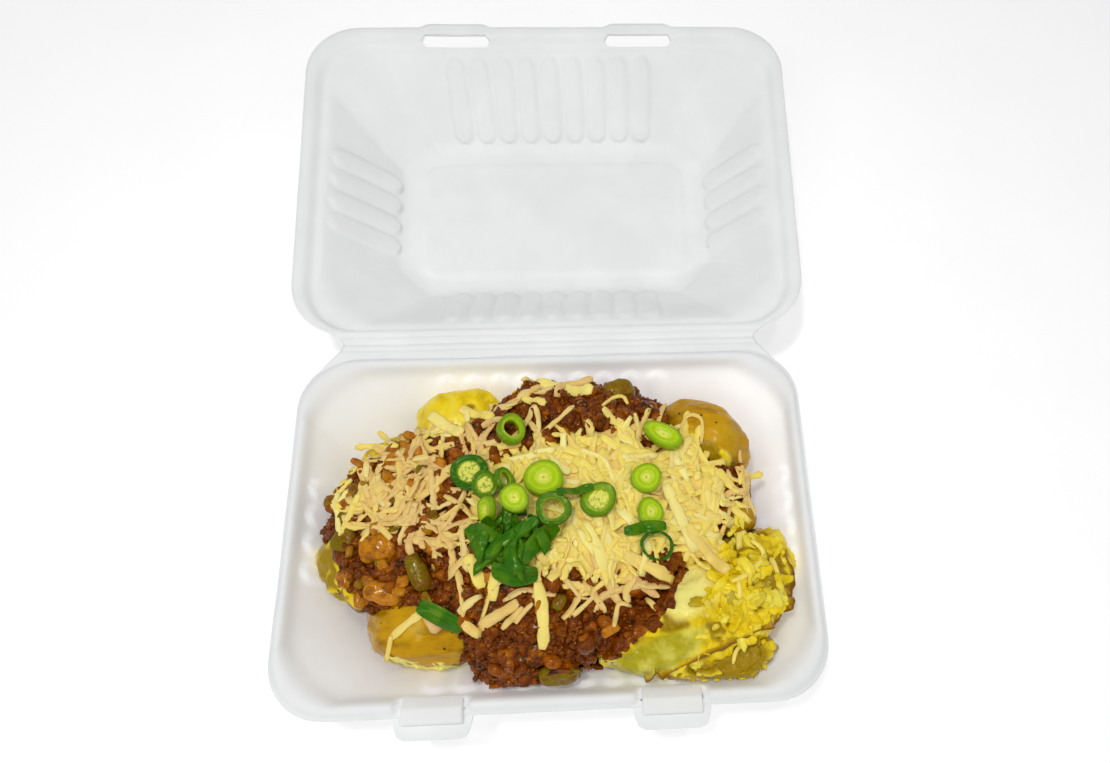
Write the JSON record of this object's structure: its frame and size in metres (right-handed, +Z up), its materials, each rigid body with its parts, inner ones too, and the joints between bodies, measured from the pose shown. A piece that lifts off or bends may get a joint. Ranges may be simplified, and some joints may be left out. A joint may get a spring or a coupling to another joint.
{
  "type": "loaded baked potato meal in a hinged takeaway box",
  "caption": "Baked potatoes, broken open under chilli, grated cheese and spring onion, in a moulded pulp takeaway box whose hinged lid stands open.",
  "frame": {"origin": "centre of the tray's flat underside", "axes": "+X to the right along the hinge, +Y from the locking tabs towards the hinge and the open lid, +Z up"},
  "size_m": [0.2424, 0.3496, 0.0752],
  "materials": {
    "pulp": "matte moulded fibre",
    "potato_flesh": "soft, moist",
    "potato_skin": "oiled, wrinkled",
    "chilli": "wet, glossy",
    "cheese": "soft, half melted",
    "pepper": "wet, glossy",
    "onion_slice": "crisp, moist",
    "onion_leaf": "crisp, moist"
  },
  "bodies": {
    "tray": {"tray": "pulp", "chilli": "chilli", "grated_cheese": "cheese", "leaf_1": "onion_leaf", "leaf_2": "onion_leaf", "leaf_3": "onion_leaf", "leaf_4": "onion_leaf", "leaf_5": "onion_leaf", "leaf_6": "onion_leaf", "leaf_7": "onion_leaf", "leaf_front": "onion_leaf", "leaf_lone": "onion_leaf", "leaf_right": "onion_leaf", "leaf_small": "onion_leaf", "onion_back": "onion_slice", "onion_left_large": "onion_slice", "onion_left_small": "onion_slice", "onion_left_third": "onion_slice", "onion_mid": "onion_slice", "onion_mid_left": "onion_slice", "onion_oblong": "onion_slice", "onion_open_ring": "onion_slice", "onion_pale_disc": "onion_slice", "onion_right_disc": "onion_slice", "onion_right_inner": "onion_slice", "onion_right_small": "onion_slice", "onion_thin_ring": "onion_slice", "pepper_back": "pepper", "pepper_front": "pepper", "pepper_green": "pepper", "pepper_left": "pepper", "pepper_left_end": "pepper", "pepper_left_low": "pepper", "potato_back_corner": "potato_flesh", "potato_back_left": "potato_flesh", "potato_back_right": "potato_skin", "potato_front_flap": "potato_skin", "potato_front_left": "potato_skin", "potato_front_right": "potato_flesh", "potato_left_edge": "potato_flesh", "potato_left_sliver": "potato_skin", "potato_right_chunk": "potato_skin"},
    "lid": {"lid": "pulp"}
  },
  "joints": [
    {"name": "lid_hinge", "type": "hinge", "parent": "tray", "child": "lid", "pos_m": [0, 0.0867, 0.04], "axis": [1, 0, 0], "range_deg": [-6, 174]}
  ]
}
